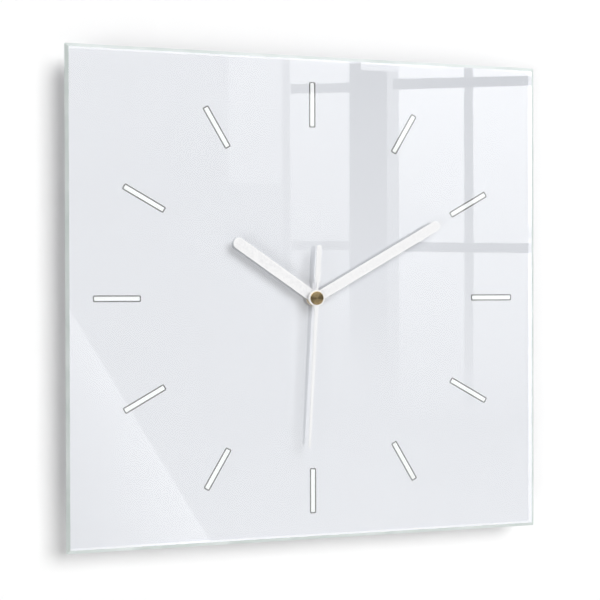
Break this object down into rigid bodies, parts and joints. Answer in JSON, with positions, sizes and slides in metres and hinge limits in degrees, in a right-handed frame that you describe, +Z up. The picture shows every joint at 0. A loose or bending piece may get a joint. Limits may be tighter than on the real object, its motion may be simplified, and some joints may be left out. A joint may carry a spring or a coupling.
{
  "type": "wall clock",
  "caption": "Square white glass wall clock with twelve outlined hour bars, two round-ended hands, a second hand with counterweight, and a quartz movement behind.",
  "frame": {"origin": "centre of the hanging hole, in the middle of the hanger's steel", "axes": "+Z up, +X to the viewer's right, +Y into the wall; the dial faces -Y"},
  "size_m": [0.3, 0.0329, 0.3],
  "materials": {
    "glass": "clear tempered glass, ground bevelled edge",
    "white_print": "white screen-printed enamel seen through the glass",
    "dark_ink": "dark grey printed line",
    "marker_white": "brighter white printed fill",
    "adhesive": "double-sided foam tape",
    "zinc_steel": "zinc-plated pressed steel",
    "black_rubber": "soft washer",
    "nylon": "moulded, natural white",
    "brass": "turned brass",
    "polished_brass": "turned and lacquered brass",
    "case_black": "moulded, fine spark texture",
    "bridge_plastic": "moulded",
    "board_green": "solder mask",
    "epoxy_black": "potting drop",
    "can_steel": "drawn steel",
    "core_iron": "punched electrical steel",
    "bobbin_plastic": "natural moulded plastic",
    "copper_wire": "enamelled copper wire",
    "contact_steel": "nickel-plated spring steel",
    "cell_jacket": "plastic-sleeved cell, plain",
    "magnet": "bonded ferrite",
    "gear_plastic": "acetal",
    "knob_plastic": "moulded, fluted",
    "hand_white": "white lacquered aluminium sheet, fine texture",
    "spacer_foam": "dense foam distance piece"
  },
  "bodies": {
    "clock": {"glass_pane": "glass", "dial_print": "white_print", "marker_outlines": "dark_ink", "marker_fills": "marker_white", "spacer_adhesives": "adhesive", "hanger": "zinc_steel", "rubber_washer": "black_rubber", "nylon_washer": "nylon", "threaded_bushing": "brass", "ring_nut": "brass", "front_case": "case_black", "rear_case": "case_black", "spacer_upper_left": "spacer_foam", "spacer_upper_right": "spacer_foam", "spacer_lower_left": "spacer_foam", "spacer_lower_right": "spacer_foam", "train_bridge": "bridge_plastic", "circuit_board": "board_green", "chip": "epoxy_black", "quartz_crystal": "can_steel", "stator": "core_iron", "coil_core": "core_iron", "coil_bobbin": "bobbin_plastic", "coil_winding": "copper_wire", "positive_contact": "contact_steel", "negative_contact": "contact_steel"},
    "battery": {"battery_cell": "cell_jacket"},
    "minute": {"centre_wheel": "gear_plastic", "minute_pipe": "gear_plastic", "minute_hand": "hand_white"},
    "hour": {"hour_wheel": "gear_plastic", "hour_hand": "hand_white"},
    "seconds": {"seconds_wheel": "gear_plastic", "seconds_arbor": "can_steel", "second_hand": "hand_white", "second_hand_tube": "brass", "second_hand_cap": "polished_brass"},
    "third_wheel": {"third_wheel": "gear_plastic"},
    "fifth_wheel": {"fifth_wheel": "gear_plastic"},
    "rotor": {"rotor_magnet": "magnet", "rotor_pinion": "gear_plastic"},
    "intermediate": {"intermediate_wheel": "gear_plastic", "setting_knob": "knob_plastic"}
  },
  "joints": [
    {"name": "seconds_turn", "type": "hinge", "parent": "clock", "child": "seconds", "pos_m": [0, -0.0097, -0.04], "axis": [0, 1, 0], "continuous": true},
    {"name": "minute_turn", "type": "hinge", "parent": "clock", "child": "minute", "pos_m": [0, -0.0097, -0.04], "axis": [0, 1, 0], "continuous": true},
    {"name": "hour_turn", "type": "hinge", "parent": "clock", "child": "hour", "pos_m": [0, -0.0097, -0.04], "axis": [0, 1, 0], "continuous": true},
    {"name": "third_wheel_turn", "type": "hinge", "parent": "clock", "child": "third_wheel", "pos_m": [0.0094, -0.0097, -0.04166], "axis": [0, 1, 0], "continuous": true},
    {"name": "fifth_wheel_turn", "type": "hinge", "parent": "clock", "child": "fifth_wheel", "pos_m": [0.00245, -0.0097, -0.03087], "axis": [0, 1, 0], "continuous": true},
    {"name": "rotor_turn", "type": "hinge", "parent": "clock", "child": "rotor", "pos_m": [0.01034, -0.0097, -0.03156], "axis": [0, 1, 0], "continuous": true},
    {"name": "setting_knob_turn", "type": "hinge", "parent": "clock", "child": "intermediate", "pos_m": [-0.01, -0.0097, -0.04], "axis": [0, 1, 0], "continuous": true},
    {"name": "battery_slide", "type": "slide", "parent": "clock", "child": "battery", "axis": [0, 1, 0], "range_m": [0, 0.02]}
  ],
  "couplings": [
    {"joint": "minute_turn", "follows": "seconds_turn", "ratio": 0.016667},
    {"joint": "hour_turn", "follows": "seconds_turn", "ratio": 0.0013889},
    {"joint": "third_wheel_turn", "follows": "seconds_turn", "ratio": -0.13333},
    {"joint": "fifth_wheel_turn", "follows": "seconds_turn", "ratio": -6},
    {"joint": "rotor_turn", "follows": "seconds_turn", "ratio": 30},
    {"joint": "setting_knob_turn", "follows": "seconds_turn", "ratio": -0.0055556}
  ]
}
